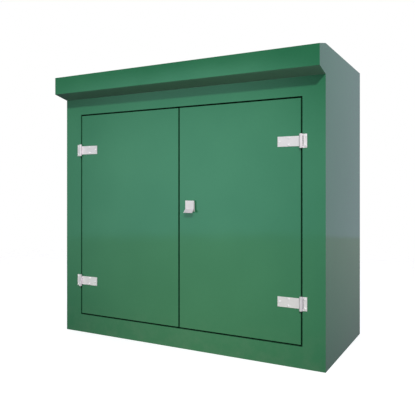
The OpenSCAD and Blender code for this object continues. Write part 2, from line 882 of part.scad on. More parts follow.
module rpz_body() {
    color(bronze) on_run() difference() {
        rpz_outside();
        x_rod(strainer_x1 - 1, strainer_x1 + 18, pipe_r + fit_gap);
        x_rod(strainer_x1, -58, bore_r);
        slanted([-62, 0], [check_xs[0], -17], 18);
        for (x = check_xs) translate([x, 0, 0]) {
            z_rod(-34, -5, 38);
            z_rod(-6, 9, 30);
            z_rod(8, chamber_top + 1, 40);
        }
        slanted([check_xs[0] + 20, 30], [check_xs[1] - 10, -19], 15);
        slanted([check_xs[1] + 20, 26], [216, 0], 15);
        x_rod(206, 250, bore_r - 1);
        translate([relief_x, 0, 0]) z_rod(neck_z - 1, 6, 12);
        translate([relief_x, 0, 0]) neck_bolt_places() z_rod(neck_z - 1, neck_z + 8, 3.02);
        for (i = [1:3]) translate([cock_places[i][0], 0, cock_places[i][2]])
            y_rod_from(cock_places[i][1] - 1, 0, 5);
        translate([check_xs[0], 0, 0]) z_rod(-63, -33, 4.1);
        for (x = check_xs) translate([x, 0, 0]) cover_bolt_places() z_rod(chamber_top - 9, 80, 4.05);
    }
}

module cover_bolt_places() {
    for (i = [0:5]) rotate([0, 0, 60 * i + 30]) translate([cover_bolt_r, 0, 0]) children();
}

module check_covers() {
    z0 = chamber_top + 0.1;
    color(bronze) on_run() for (x = check_xs) translate([x, 0, 0]) difference() {
        union() {
            z_rod(z0, z0 + 10, 60);
            translate([0, 0, z0 + 10]) cylinder(h = 14, r1 = 43, r2 = 30);
            translate([0, 0, z0 + 24]) cylinder(h = 9, r = 15, $fn = 6);
            z_rod(50, z0 + 1, 12);
        }
        z_rod(49, 82, 6.1);
        cover_bolt_places() z_rod(z0 - 1, z0 + 11, 4.2);
    }
}

module bolt_head(r, h) {
    cylinder(h = h, r = r, $fn = 6);
}

module relief_bolt_places() {
    for (i = [0:5]) rotate([0, 0, 60 * i + 30]) translate([relief_bolt_r, 0, 0]) children();
}

module neck_bolt_places() {
    for (i = [0:3]) rotate([0, 0, 90 * i + 45]) translate([neck_bolt_r, 0, 0]) children();
}

relief_lid_z = relief_face_z - 2.1;

module cover_bolts() {
    color("#c9cacc") on_run() {
        for (x = check_xs) translate([x, 0, 0]) cover_bolt_places() {
            z_rod(chamber_top - 8.5, chamber_top + 10.1, 4);
            translate([0, 0, chamber_top + 10.1]) bolt_head(7, 5);
        }
        translate([relief_x, 0, 0]) relief_bolt_places() {
            z_rod(relief_lid_z - 8, relief_face_z + 6, 2.9);
            translate([0, 0, relief_lid_z - 12]) bolt_head(5, 4);
        }
        translate([relief_x, 0, 0]) neck_bolt_places() {
            z_rod(neck_z - 8, neck_z + 7, 3);
            translate([0, 0, neck_z - 12]) bolt_head(5, 4);
        }
    }
}

module check_disc(x) {
    color("#2b2b2c") on_run() translate([x, 0, 0]) {
        z_rod(seat_lip_z + 0.1, seat_lip_z + 5, 31);
        z_rod(seat_lip_z + 4, seat_lip_z + 9, 27);
        z_rod(seat_lip_z + 8, 62, 6);
    }
}

module first_check_disc() {
    check_disc(check_xs[0]);
}

module second_check_disc() {
    check_disc(check_xs[1]);
}

module check_spring(x) {
    color("#a9abad") on_run() translate([x, 0, 0]) coil(19, 1.7, seat_lip_z + 11, 64, 5);
}

module first_check_spring() {
    check_spring(check_xs[0]);
}

module second_check_spring() {
    check_spring(check_xs[1]);
}

module relief_body() {
    color(bronze) on_run() translate([relief_x, 0, 0]) difference() {
        union() {
            z_rod(neck_z - 8, neck_z - 0.1, 38);
            z_rod(relief_seat_z, neck_z - 7, 21);
            z_rod(relief_face_z + 4, relief_seat_z + 6, 32);
            z_rod(relief_face_z, relief_face_z + 8, 45);
            translate([0, 0, vent_bend_z]) y_rod_from(vent_y, -20, 16);
            translate([0, vent_y, vent_bend_z]) sphere(r = 16);
            translate([0, vent_y, 0]) z_rod(vent_z, vent_bend_z, 16);
            translate([0, vent_y, 0]) z_rod(vent_z, vent_z + 8, 20);
        }
        z_rod(relief_seat_z + 4, neck_z + 1, 15);
        z_rod(relief_seat_z - 1, relief_seat_z + 5, 11);
        z_rod(relief_face_z - 1, relief_seat_z, 27);
        translate([0, 0, vent_bend_z]) y_rod_from(vent_y, -20, 12);
        translate([0, vent_y, vent_bend_z]) sphere(r = 12);
        translate([0, vent_y, 0]) z_rod(vent_z - 1, vent_bend_z, 12);
        relief_bolt_places() z_rod(relief_face_z - 1, relief_face_z + 7, 2.95);
        neck_bolt_places() z_rod(neck_z - 9, neck_z + 1, 3.2);
    }
}

// Rolled downward while the valve is open, with its rim clamped by the cover
module relief_diaphragm() {
    web_z = relief_face_z - relief_travel;
    color("#1d1d1d") on_run() translate([relief_x, 0, 0]) difference() {
        union() {
            z_rod(relief_face_z - 2, relief_face_z - 0.1, 44.5);
            translate([0, 0, web_z - 1]) cylinder(h = relief_travel - 1, r1 = 23.4, r2 = 25.4);
        }
        translate([0, 0, web_z + 1]) cylinder(h = relief_travel, r1 = 21.6, r2 = 23.9);
        z_rod(web_z - 2, relief_face_z, 4.1);
        relief_bolt_places() z_rod(relief_face_z - 3, relief_face_z + 1, 3.1);
    }
}

module relief_spring() {
    color("#a9abad") on_run() translate([relief_x, 0, 0])
        coil(18.6, 1.4, relief_face_z - relief_travel + 5.5, relief_seat_z - 1.6, 4);
}

module relief_cover() {
    color(bronze) on_run() translate([relief_x, 0, 0]) difference() {
        union() {
            z_rod(relief_lid_z - 7.9, relief_lid_z, 45);
            z_rod(relief_floor_z - 6, relief_lid_z - 7, 31);
            translate([0, 0, relief_floor_z - 10]) cylinder(h = 4, r1 = 25, r2 = 31);
            translate([0, 0, relief_lid_z - 9]) x_rod(-44, 0, 8);
        }
        z_rod(relief_floor_z, relief_lid_z + 1, 26);
        translate([0, 0, relief_lid_z - 9]) x_rod(-45, -20, 4.1);
        relief_bolt_places() z_rod(relief_lid_z - 9, relief_lid_z + 1, 3.1);
    }
}

// Drawn open, as its spring leaves it without water pressure
module relief_stem() {
    web_z = relief_face_z - relief_travel;
    disc_z = relief_seat_z - relief_travel;
    color("#cfd0d2") on_run() translate([relief_x, 0, 0]) {
        z_rod(disc_z - 5, disc_z - 0.1, 16);
        z_rod(relief_floor_z + 0.1, disc_z - 4, 4);
        z_rod(web_z + 1.1, web_z + 4, 21);
        z_rod(web_z - 4, web_z - 1.1, 22);
    }
}

// Small tube from ahead of the first check to the relief valve's cover
module sensing_line() {
    r = 4;
    bend = 12;
    x0 = check_xs[0];
    z1 = relief_lid_z - 9;
    color(copper) on_run() {
        translate([x0, 0, 0]) z_rod(z1 + bend, -52, r);
        translate([x0 + bend, 0, z1 + bend]) rotate([90, 0, 0]) rotate([0, 0, 180])
            rotate_extrude(angle = 90) translate([bend, 0]) circle(r = r);
        translate([0, 0, z1]) x_rod(x0 + bend, relief_x - 34, r);
    }
}

// A test cock points out of the front, with its stem upright
module test_cock() {
    difference() {
        union() {
            y_rod_from(0, 7, 4.9);
            rotate([90, 0, 0]) cylinder(h = 8, r = 9, $fn = 6);
            y_rod_from(-28, -7, 7.5);
            translate([0, -18, 0]) z_rod(-9, 12, 8.5);
            y_rod_from(-40, -27, 5.5);
            y_rod_from(-40, -36, 6.8);
        }
        y_rod_from(-41, 8, 2.6);
        translate([0, -18, 0]) z_rod(-6, 13, 4.55);
    }
}

module test_cocks() {
    color(bronze) on_run() for (p = cock_places) translate(p) test_cock();
}

// A stem with its cross bore, shut at rest, and a screwdriver slot
module test_cock_stem(i) {
    color("#d8c48a") on_run() translate(cock_places[i]) translate([0, -18, 0]) difference() {
        union() {
            z_rod(-5.5, 13, 4.5);
            z_rod(12.2, 17, 6.2);
        }
        x_rod(-9, 9, 2.4);
        block([-9, -0.8, 15], [9, 0.8, 18]);
    }
}

module tundish() {
    color("#3b3d40") translate([relief_x, y_pipe + vent_y, tundish_top - tundish_h]) difference() {
        union() {
            cylinder(h = tundish_h, r1 = 24, r2 = 52);
            z_rod(-30, 1, 24);
            z_rod(tundish_h - 6, tundish_h, 54);
        }
        translate([0, 0, 4]) cylinder(h = tundish_h, r1 = 21.6, r2 = 49.6);
        z_rod(-1, 5, 17.5);
        z_rod(-31, -0.9, 20.1);
    }
}

module drain_pipe() {
    color("#4a4c50") translate([relief_x, y_pipe + vent_y, 0]) difference() {
        union() {
            z_rod(0, tundish_top - tundish_h - 1, 20);
            z_rod(0, 36, 22);
            z_rod(24, 36, 27);
        }
        z_rod(-1, tundish_top, 17.5);
    }
}

clamp_h = 30;
clamp_t = 5;
ear_x = 20;

// Half of a pipe clamp, at the origin: the half behind the pipe
module half_clamp(r) {
    difference() {
        union() {
            z_rod(-clamp_h / 2, clamp_h / 2, r + clamp_t);
            block([-r - ear_x, 1, -clamp_h / 2], [r + ear_x, 6, clamp_h / 2]);
        }
        z_rod(-clamp_h, clamp_h, r + fit_gap);
        block([-r - 30, -r - 30, -clamp_h], [r + 30, 1, clamp_h]);
        clamp_bolt_places(r) y_rod_from(-20, 20, 3.2);
    }
}

module clamp_bolt_places(r) {
    for (s = [-1, 1]) translate([s * (r + ear_x - 8), 0, 0]) children();
}

// Each pipe's bracket, the loose half of its clamp and the two bolts between them
module pipe_supports() {
    for (p = held_pipes) translate([p[0], p[1], p[3]]) {
        back = y_backboard - p[1];
        color("#8d9094") difference() {
            union() {
                half_clamp(p[2]);
                block([-10, p[2] + 2, -6], [10, back, 6]);
                block([-35, back - 5, -30], [35, back, 30]);
            }
            z_rod(-clamp_h, clamp_h, p[2] + fit_gap);
        }
        color("#b4b6b9") {
            mirror([0, 1, 0]) half_clamp(p[2]);
            clamp_bolt_places(p[2]) {
                y_rod_from(-6, 8, 3);
                translate([0, -6, 0]) rotate([90, 0, 0]) bolt_head(5.5, 4);
            }
        }
    }
}

shell();
door_seal();
insulation_panels();
backboard();
hinge_plates();
hinge_fixings();
rod_keeps();
pipe_supports();
pipe_risers();
pipe_elbows();
pipe_unions();
inlet_valve_body();
outlet_valve_body();
seat_rings();
strainer_body();
strainer_screen();
strainer_cap();
rpz_body();
check_covers();
cover_bolts();
first_check_spring();
second_check_spring();
relief_body();
relief_diaphragm();
relief_spring();
relief_cover();
sensing_line();
test_cocks();
tundish();
drain_pipe();
left_door_skin();
left_door_liner();
left_hinge_straps();
left_hinge_screws();
left_bolt_guides();
left_top_bolt();
left_bottom_bolt();
right_door_skin();
right_door_liner();
right_hinge_straps();
right_hinge_screws();
lock_escutcheon();
lock_gearcase();
rod_guides();
lock_spindle();
lock_cam();
upper_rod();
lower_rod();
lock_cover();
inlet_valve_ball();
inlet_valve_handle();
outlet_valve_ball();
outlet_valve_handle();
first_check_disc();
second_check_disc();
relief_stem();
test_cock_stem(0);  // test_cock_stem_1
test_cock_stem(1);  // test_cock_stem_2
test_cock_stem(2);  // test_cock_stem_3
test_cock_stem(3);  // test_cock_stem_4
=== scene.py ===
import json
import math

import bmesh
import bpy
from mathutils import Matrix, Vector
from mathutils.bvhtree import BVHTree

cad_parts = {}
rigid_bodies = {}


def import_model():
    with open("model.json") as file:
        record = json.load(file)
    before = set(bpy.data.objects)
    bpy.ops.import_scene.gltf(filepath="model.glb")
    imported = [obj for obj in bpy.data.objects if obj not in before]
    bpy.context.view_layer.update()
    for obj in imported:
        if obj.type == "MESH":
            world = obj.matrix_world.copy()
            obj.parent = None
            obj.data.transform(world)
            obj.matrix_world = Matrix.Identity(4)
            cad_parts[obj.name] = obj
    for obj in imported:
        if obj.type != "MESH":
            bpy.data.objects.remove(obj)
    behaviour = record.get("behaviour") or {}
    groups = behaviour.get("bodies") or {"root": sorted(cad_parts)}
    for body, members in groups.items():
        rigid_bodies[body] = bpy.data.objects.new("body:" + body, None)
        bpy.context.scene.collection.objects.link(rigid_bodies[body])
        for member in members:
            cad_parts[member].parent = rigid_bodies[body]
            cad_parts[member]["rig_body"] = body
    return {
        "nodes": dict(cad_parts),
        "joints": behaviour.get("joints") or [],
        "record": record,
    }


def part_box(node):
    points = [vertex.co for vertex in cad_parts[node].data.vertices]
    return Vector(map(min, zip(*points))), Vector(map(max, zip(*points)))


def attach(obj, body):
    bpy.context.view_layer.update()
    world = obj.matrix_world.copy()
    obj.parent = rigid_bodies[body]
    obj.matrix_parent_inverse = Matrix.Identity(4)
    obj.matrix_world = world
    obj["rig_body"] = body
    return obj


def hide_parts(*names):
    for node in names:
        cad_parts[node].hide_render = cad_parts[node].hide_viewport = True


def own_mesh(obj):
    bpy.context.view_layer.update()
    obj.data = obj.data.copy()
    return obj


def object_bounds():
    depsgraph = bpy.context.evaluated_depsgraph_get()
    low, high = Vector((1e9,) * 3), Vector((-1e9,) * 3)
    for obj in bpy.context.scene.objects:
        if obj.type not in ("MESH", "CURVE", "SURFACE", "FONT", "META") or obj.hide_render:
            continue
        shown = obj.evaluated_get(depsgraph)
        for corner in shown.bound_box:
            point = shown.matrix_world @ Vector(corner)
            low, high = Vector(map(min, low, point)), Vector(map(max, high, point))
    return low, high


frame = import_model()
cad_low, cad_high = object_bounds()


# ---------------------------------------------------------------------------
# Measures, in metres unless said. Small letters: read from the frame. Capitals: chosen here
# ---------------------------------------------------------------------------

def joint(name):
    return next(j for j in frame["joints"] if j["name"] == name)


def body_of(node):
    return frame["nodes"][node]["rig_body"]


half_w = cad_high.x
y_back = cad_high.y
y_canopy = cad_low.y
z_roof = cad_high.z
y_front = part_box("left_door_skin")[0].y
y_door_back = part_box("left_door_skin")[1].y

# The door opening, which stands this far outside the seal on its stop flange
SEAL_INSET = 0.005
seal_low, seal_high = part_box("door_seal")
open_x = seal_high.x + SEAL_INSET
open_z0 = seal_low.z - SEAL_INSET
open_z1 = seal_high.z + SEAL_INSET

# The outlet valve turns about a point on the axis of the pipe run
valve_x, pipe_y, pipe_z = joint("outlet_valve_turn")["pos_m"]
riser_x = next(m for m in frame["record"]["mounts"] if m["name"] == "outlet")["pos_m"][0]

# Slack for telling which plane a face lies in
NEAR = 0.0004
# How far the middle of the canopy lies below the top of the roof
CANOPY_MIDDLE = 0.065
# The polished return round the doors: slack beside it, and its depth behind the doors
RETURN_SLACK = 0.0025
RETURN_DEPTH = 0.0085
# Where the dipped grip of a lever starts, from the stem
GRIP_START = 0.0615
# A machined face of a casting is nearly square to X or Z, and larger than this in square metres
SQUARE, MACHINED_AREA = 0.9995, 4e-6

# Points closer than WELD are one, and neighbouring faces within FLAT degrees of each other are joined
WELD, FLAT = 2e-6, 0.5
# Edges sharper than this many degrees are bevelled, and what is still that sharp is shaded sharp
SHARP = 32.0

# Rubber frames: gaps to the doors' front and back, bite into an edge, rounding of their corners
GASKET_FRONT, GASKET_BACK, GASKET_BITE, GASKET_ROUND = 0.0024, 0.0022, 0.0006, 0.0003
# How far they stand out of a door's edges, of its meeting edge, and into the opening
GASKET_OUT, GASKET_MEETING, GASKET_OPENING = 0.0010, 0.0022, 0.0013

# Insulation boards, and the tape over their joints
BOARD_T = 0.020
TAPE_T, TAPE_W, TAPE_BITE = 0.0004, 0.048, 0.0002
TAPE_FOOT_GAP, TAPE_END_GAP = 0.004, 0.002

# How deep a domed head is let in
HEAD_BITE = 0.0006
# Screws: in from the backboard's edges, beside its middle, and the middle row's height
SCREW_EDGE, SCREW_X, SCREW_Z = 0.030, 0.20, 0.60
SCREW_R, SCREW_H = 0.0042, 0.0022
# Rivets: heights of the rows, and distances from the middle of the cabinet
RIVET_ROWS = (0.135, 0.36, 0.50, 0.75, 1.005)
RIVET_MEETING, RIVET_MIDDLE, RIVET_HINGE = 0.030, 0.265, 0.500
RIVET_R, RIVET_H = 0.0045, 0.0013

# Flow arrows: half heights of the shaft and head, ends along X from the arrow's middle, slope of the tip
SHAFT_HALF, HEAD_HALF = 0.003, 0.008
TAIL_END, HEAD_START, TIP_END = -0.017, 0.004, 0.0165
TIP_SLOPE, LEAST_WIDTH = 1.5, 0.0004
ARROW_OUT, ARROW_BITE = 0.0009, 0.0008
# X of each arrow's middle, and its height over the pipe's axis
ARROW_PLACES = {"strainer_body": (-0.170, 0.007), "rpz_body": (-0.003, 0.020)}


# ---------------------------------------------------------------------------
# Node graphs
# ---------------------------------------------------------------------------

class Graph:
    """Builds a node tree from short calls: a value that is a socket is linked, and any other is set."""

    def __init__(self, tree):
        self.tree = tree
        tree.nodes.clear()

    def add(self, kind, settings=None, **inputs):
        node = self.tree.nodes.new("ShaderNode" + kind)
        for key, value in (settings or {}).items():
            setattr(node, key, value)
        for key, value in inputs.items():
            self.put(node.inputs[key.replace("_", " ")], value)
        return node

    def put(self, socket, value):
        if isinstance(value, bpy.types.NodeSocket):
            self.tree.links.new(value, socket)
        else:
            socket.default_value = value

    def math(self, operation, a, b=0.0, clamp=False):
        node = self.add("Math", {"operation": operation, "use_clamp": clamp})
        self.put(node.inputs[0], a)
        self.put(node.inputs[1], b)
        return node.outputs[0]

    def times(self, a, b):
        return self.math("MULTIPLY", a, b)

    def dot(self, a, b):
        node = self.add("VectorMath", {"operation": "DOT_PRODUCT"})
        self.put(node.inputs[0], a)
        self.put(node.inputs[1], b)
        return node.outputs["Value"]

    def split(self, vector):
        """The X, Y and Z of a vector."""
        return self.add("SeparateXYZ", Vector=vector).outputs

    def mix(self, factor, a, b, blend="MIX"):
        """A mix of two colours, which a Mix node keeps in inputs 6 and 7 and output 2."""
        node = self.add("Mix", {"data_type": "RGBA", "blend_type": blend})
        self.put(node.inputs[0], factor)
        self.put(node.inputs[6], a)
        self.put(node.inputs[7], b)
        return node.outputs[2]

    def ramp(self, value, low, high, to_low=0.0, to_high=1.0):
        """Maps low to high onto to_low to to_high, and holds the ends."""
        node = self.add("MapRange", Value=value, From_Min=low, From_Max=high,
                        To_Min=to_low, To_Max=to_high)
        return node.outputs[0]

    def noise(self, where, scale, detail=3.0, rough=0.5, distortion=0.0):
        node = self.add("TexNoise", Vector=where, Scale=scale, Detail=detail, Roughness=rough,
                        Distortion=distortion)
        return node.outputs[0]

    def stretched(self, where, scale):
        return self.add("Mapping", Vector=where, Scale=scale).outputs[0]

    def bump(self, height, distance, strength=1.0, normal=None):
        node = self.add("Bump", Height=height, Distance=distance, Strength=strength)
        if normal is not None:
            self.put(node.inputs["Normal"], normal)
        return node.outputs[0]


def rgb(r, g, b):
    return (r, g, b, 1.0)


# ---------------------------------------------------------------------------
# Materials. Each noise runs in object space, so its scale is in features per metre
# ---------------------------------------------------------------------------

def new_material(name):
    material = bpy.data.materials.new(name)
    material.use_nodes = True
    g = Graph(material.node_tree)
    g.where = g.add("TexCoord").outputs["Object"]
    g.out = g.add("OutputMaterial")
    return material, g


def surface(g, **inputs):
    shader = g.add("BsdfPrincipled", **inputs)
    g.put(g.out.inputs["Surface"], shader.outputs[0])


def worn_edges(g, radius):
    """1 on sharp edges, fading away from them: the bevelled normal turns from the true one there."""
    bevelled = g.add("Bevel", {"samples": 4}, Radius=radius).outputs[0]
    unbevelled = g.add("NewGeometry").outputs["Normal"]
    return g.ramp(g.dot(bevelled, unbevelled), 0.995, 0.80)


def gelcoat():
    """Polished green gelcoat: drift of colour, orange peel, mould waves, dust on top and low down, and a
    painted grey sheen on faces that look down.
    """
    deep, light, speck = rgb(0.0235, 0.150, 0.0680), rgb(0.0325, 0.172, 0.0800), rgb(0.02, 0.11, 0.055)
    # dirt is real dust and splash. shaded is a painted sheen: a lighter grey-green for faces that look
    # down, standing in for light reflected under the canopy
    dirt, shaded = rgb(0.26, 0.27, 0.22), rgb(0.17, 0.22, 0.21)
    material, g = new_material("green_gelcoat")
    drift = g.noise(g.where, 2.3, 2.0)
    mottle = g.noise(g.where, 95.0, 4.0, 0.6)
    colour = g.mix(g.ramp(drift, 0.35, 0.65), deep, light)
    colour = g.mix(g.ramp(mottle, 0.3, 0.7, 0.0, 0.10), colour, speck)
    height = g.split(g.where)["Z"]
    facing_up = g.split(g.add("NewGeometry").outputs["Normal"])["Z"]
    splash = g.noise(g.where, 14.0, 6.0, 0.65)
    splashed = g.times(g.ramp(height, 0.16, 0.0), g.ramp(splash, 0.42, 0.75))
    settled = g.times(g.ramp(facing_up, 0.75, 1.0), g.ramp(splash, 0.40, 0.8, 0.05, 0.35))
    film = g.math("MAXIMUM", g.times(splashed, 0.16), g.times(settled, 0.5))
    colour = g.mix(film, colour, dirt)
    # Painted sheen: faces that look down are lightened towards grey, standing in for reflected light
    # under the canopy
    colour = g.mix(g.times(g.ramp(facing_up, -0.5, -0.9), 0.5), colour, shaded)
    smear = g.noise(g.stretched(g.where, (3.0, 3.0, 1.0)), 9.0, 5.0, 0.6)
    rough = g.math("ADD", g.ramp(smear, 0.3, 0.75, 0.045, 0.085), g.times(film, 0.6))
    waves = g.bump(g.noise(g.where, 5.5, 1.0), 0.0035, 0.10)
    peel = g.bump(g.noise(g.where, 260.0, 2.0), 0.00025, 0.16, waves)
    surface(g, Base_Color=colour, Roughness=rough, Normal=peel, IOR=1.5, Specular_IOR_Level=0.85,
            Specular_Tint=rgb(0.5, 1.0, 0.75))
    return material


def raw_laminate():
    """The unpolished inner face of the moulding: chopped glass strands under green resin."""
    material, g = new_material("raw_laminate")
    strands = []
    for turn in (0.0, 1.1, 2.2):
        turned = g.add("Mapping", Vector=g.where, Rotation=(turn, turn * 1.7, turn * 0.6),
                       Scale=(1.0, 14.0, 14.0)).outputs[0]
        strands.append(g.noise(turned, 9.0, 3.0, 0.7))
    weave = g.math("MAXIMUM", g.math("MAXIMUM", strands[0], strands[1]), strands[2])
    blotch = g.noise(g.where, 6.0, 4.0)
    colour = g.mix(g.ramp(weave, 0.45, 0.75), rgb(0.10, 0.20, 0.13), rgb(0.24, 0.34, 0.26))
    colour = g.mix(g.ramp(blotch, 0.4, 0.7, 0.0, 0.5), colour, rgb(0.15, 0.26, 0.19))
    surface(g, Base_Color=colour, Roughness=g.ramp(weave, 0.4, 0.8, 0.65, 0.45),
            Normal=g.bump(weave, 0.0012, 0.7))
    return material


def metal(name, colour, dark, roughness, metallic=1.0, grain=(1.0, 1.0, 1.0), grain_scale=220.0,
          grain_depth=0.00004, blotch=0.35, blotch_scale=12.0, pits=0.0, wear=None):
    """Metal with a grain direction, blotches that dull it, optional cast pits and bright worn edges."""
    material, g = new_material(name)
    grain_noise = g.noise(g.stretched(g.where, grain), grain_scale, 3.0, 0.7)
    patches = g.ramp(g.noise(g.where, blotch_scale, 6.0, 0.6, 0.4), 0.35, 0.72)
    base = g.mix(g.times(patches, blotch), rgb(*colour), rgb(*dark))
    base = g.mix(g.ramp(grain_noise, 0.3, 0.7, 0.0, 0.22), base, rgb(*dark))
    brushed = g.ramp(grain_noise, 0.25, 0.75, roughness - 0.06, roughness + 0.06)
    rough = g.math("ADD", g.times(patches, 0.14), brushed)
    if wear is not None:
        base = g.mix(g.times(worn_edges(g, 0.0012), 0.7), base, rgb(*wear))
    normal = g.bump(grain_noise, grain_depth, 0.6)
    if pits:
        normal = g.bump(g.noise(g.where, 420.0, 4.0, 0.7), pits, 0.8, normal)
    surface(g, Base_Color=base, Metallic=metallic, Roughness=rough, Normal=normal)
    return material


def plastic(name, colour, second, roughness, texture=60.0, depth=0.0001, shine=0.5):
    """Moulded plastic or rubber: two close tones, a fine texture and a roughness that drifts."""
    material, g = new_material(name)
    tone = g.noise(g.where, 7.0, 4.0)
    fine = g.noise(g.where, texture * 6, 3.0, 0.6)
    base = g.mix(g.ramp(tone, 0.35, 0.7), rgb(*colour), rgb(*second))
    rough = g.math("ADD", g.ramp(tone, 0.3, 0.7, roughness - 0.05, roughness + 0.05),
                   g.ramp(fine, 0.3, 0.7, -0.03, 0.03))
    surface(g, Base_Color=base, Roughness=rough, Normal=g.bump(fine, depth, 0.6),
            Specular_IOR_Level=shine)
    return material


def plywood():
    """Sealed plywood: long bent grain up the board, with dark pores."""
    material, g = new_material("plywood")
    bend = g.noise(g.stretched(g.where, (1.0, 1.0, 0.25)), 3.0, 2.0)
    bent = g.add("VectorMath", {"operation": "ADD"})
    g.put(bent.inputs[0], g.where)
    g.put(bent.inputs[1], g.add("CombineXYZ", X=g.times(bend, 0.35)).outputs[0])
    rings = g.noise(g.stretched(bent.outputs[0], (9.0, 9.0, 0.9)), 4.0, 5.0, 0.6, 1.2)
    pores = g.noise(g.stretched(g.where, (60.0, 60.0, 3.0)), 9.0, 3.0, 0.7)
    colour = g.mix(g.ramp(rings, 0.32, 0.68), rgb(0.47, 0.30, 0.155), rgb(0.66, 0.47, 0.28))
    colour = g.mix(g.ramp(pores, 0.58, 0.75, 0.0, 0.55), colour, rgb(0.25, 0.14, 0.06))
    surface(g, Base_Color=colour, Roughness=g.ramp(pores, 0.3, 0.8, 0.42, 0.62),
            Normal=g.bump(g.math("ADD", rings, pores), 0.0004, 0.35))
    return material


def insulation_board():
    """Foil-faced foam: bright pebbled facing with crinkles."""
    material, g = new_material("insulation")
    pebble = g.noise(g.where, 150.0, 4.0, 0.6)
    crinkle = g.noise(g.where, 18.0, 6.0, 0.7, 0.8)
    colour = g.mix(g.ramp(crinkle, 0.35, 0.7), rgb(0.62, 0.62, 0.60), rgb(0.78, 0.78, 0.75))
    normal = g.bump(pebble, 0.0003, 0.4, g.bump(crinkle, 0.002, 0.3))
    surface(g, Base_Color=colour, Metallic=0.35, Roughness=g.ramp(crinkle, 0.3, 0.7, 0.35, 0.55),
            Normal=normal)
    return material


PLASTICS = {
    "liner_panel": dict(colour=(0.62, 0.63, 0.58), second=(0.70, 0.70, 0.66), roughness=0.42,
                        texture=90.0, depth=0.0002),
    "black_rubber": dict(colour=(0.018, 0.018, 0.020), second=(0.032, 0.032, 0.034), roughness=0.62,
                         depth=0.0002),
    # Black rubber tinted dark green: painted green light and shade from the door returns in the gaps
    "gap_rubber_painted_green": dict(colour=(0.006, 0.050, 0.020), second=(0.010, 0.062, 0.028), roughness=0.75,
                       depth=0.0002, shine=0.15),
    "seat_white": dict(colour=(0.80, 0.79, 0.74), second=(0.86, 0.85, 0.81), roughness=0.38),
    "blue_grip": dict(colour=(0.020, 0.085, 0.30), second=(0.030, 0.11, 0.36), roughness=0.36,
                      texture=70.0, depth=0.00008),
    "dark_plastic": dict(colour=(0.045, 0.048, 0.052), second=(0.075, 0.078, 0.082), roughness=0.40,
                         depth=0.00012),
}

METALS = {
    "stainless": dict(colour=(0.97, 0.92, 0.95), dark=(0.82, 0.775, 0.80), roughness=0.42, metallic=0.50,
                      grain=(1.0, 1.0, 26.0), grain_scale=30.0, grain_depth=0.00002,
                      blotch=0.25, blotch_scale=20.0, wear=(0.90, 0.88, 0.89)),
    "screw_steel": dict(colour=(0.96, 0.95, 0.96), dark=(0.84, 0.83, 0.84), roughness=0.32, metallic=0.25,
                        grain_scale=200.0, grain_depth=0.00002, blotch=0.25, blotch_scale=60.0),
    "zinc_steel": dict(colour=(0.60, 0.61, 0.62), dark=(0.38, 0.38, 0.36), roughness=0.40,
                       grain_scale=120.0, grain_depth=0.00003, blotch=0.6, blotch_scale=40.0),
    "spring_steel": dict(colour=(0.50, 0.50, 0.52), dark=(0.24, 0.23, 0.22), roughness=0.30),
    "mesh_steel": dict(colour=(0.62, 0.62, 0.63), dark=(0.40, 0.40, 0.40), roughness=0.35),
    "bronze": dict(colour=(0.60, 0.42, 0.20), dark=(0.30, 0.18, 0.075), roughness=0.40, grain_scale=60.0,
                   blotch=0.75, blotch_scale=14.0, pits=0.00018, wear=(0.80, 0.62, 0.34)),
    "machined_bronze": dict(colour=(0.72, 0.53, 0.28), dark=(0.50, 0.34, 0.16), roughness=0.26,
                            grain=(1.0, 1.0, 30.0), grain_scale=40.0, grain_depth=0.00002,
                            blotch=0.4, blotch_scale=25.0),
    "copper": dict(colour=(0.76, 0.42, 0.28), dark=(0.34, 0.15, 0.085), roughness=0.28,
                   grain=(1.0, 1.0, 0.05), grain_scale=90.0, grain_depth=0.00002,
                   blotch=0.85, blotch_scale=9.0),
    "solder": dict(colour=(0.66, 0.66, 0.67), dark=(0.42, 0.42, 0.42), roughness=0.34),
    "chrome_ball": dict(colour=(0.86, 0.86, 0.87), dark=(0.70, 0.70, 0.72), roughness=0.10),
    "foil_tape": dict(colour=(0.80, 0.80, 0.80), dark=(0.60, 0.60, 0.60), roughness=0.30,
                      grain_scale=30.0, grain_depth=0.0006),
}

MATERIALS = {
    "green_gelcoat": gelcoat(),
    "raw_laminate": raw_laminate(),
    "insulation": insulation_board(),
    "plywood": plywood(),
    **{name: plastic(name, **look) for name, look in PLASTICS.items()},
    **{name: metal(name, **look) for name, look in METALS.items()},
}


# ---------------------------------------------------------------------------
# Making pieces
# ---------------------------------------------------------------------------

def from_bmesh(bm, name, materials, body):
    """Makes a smooth-shaded piece, with its sharp edges kept, that rides on a body."""
    bm.normal_update()
    for edge in bm.edges:
        if len(edge.link_faces) == 2:
            edge.smooth = edge.calc_face_angle(0.0) < math.radians(SHARP)
    for face in bm.faces:
        face.smooth = True
    mesh = bpy.data.meshes.new(name)
    bm.to_mesh(mesh)
    bm.free()
    for m in materials:
        mesh.materials.append(MATERIALS[m])
    piece = bpy.data.objects.new(name, mesh)
    bpy.context.scene.collection.objects.link(piece)
    weighted = piece.modifiers.new("normals", "WEIGHTED_NORMAL")
    weighted.keep_sharp = True
    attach(piece, body)
    return piece


def round_edges(bm, width, segments):
    sharp = [e for e in bm.edges
             if len(e.link_faces) == 2 and e.calc_face_angle(0.0) > math.radians(SHARP)]
    if sharp:
        bmesh.ops.bevel(bm, geom=sharp, offset=width, offset_type="OFFSET", segments=segments,
                        profile=0.5, affect="EDGES", clamp_overlap=True)


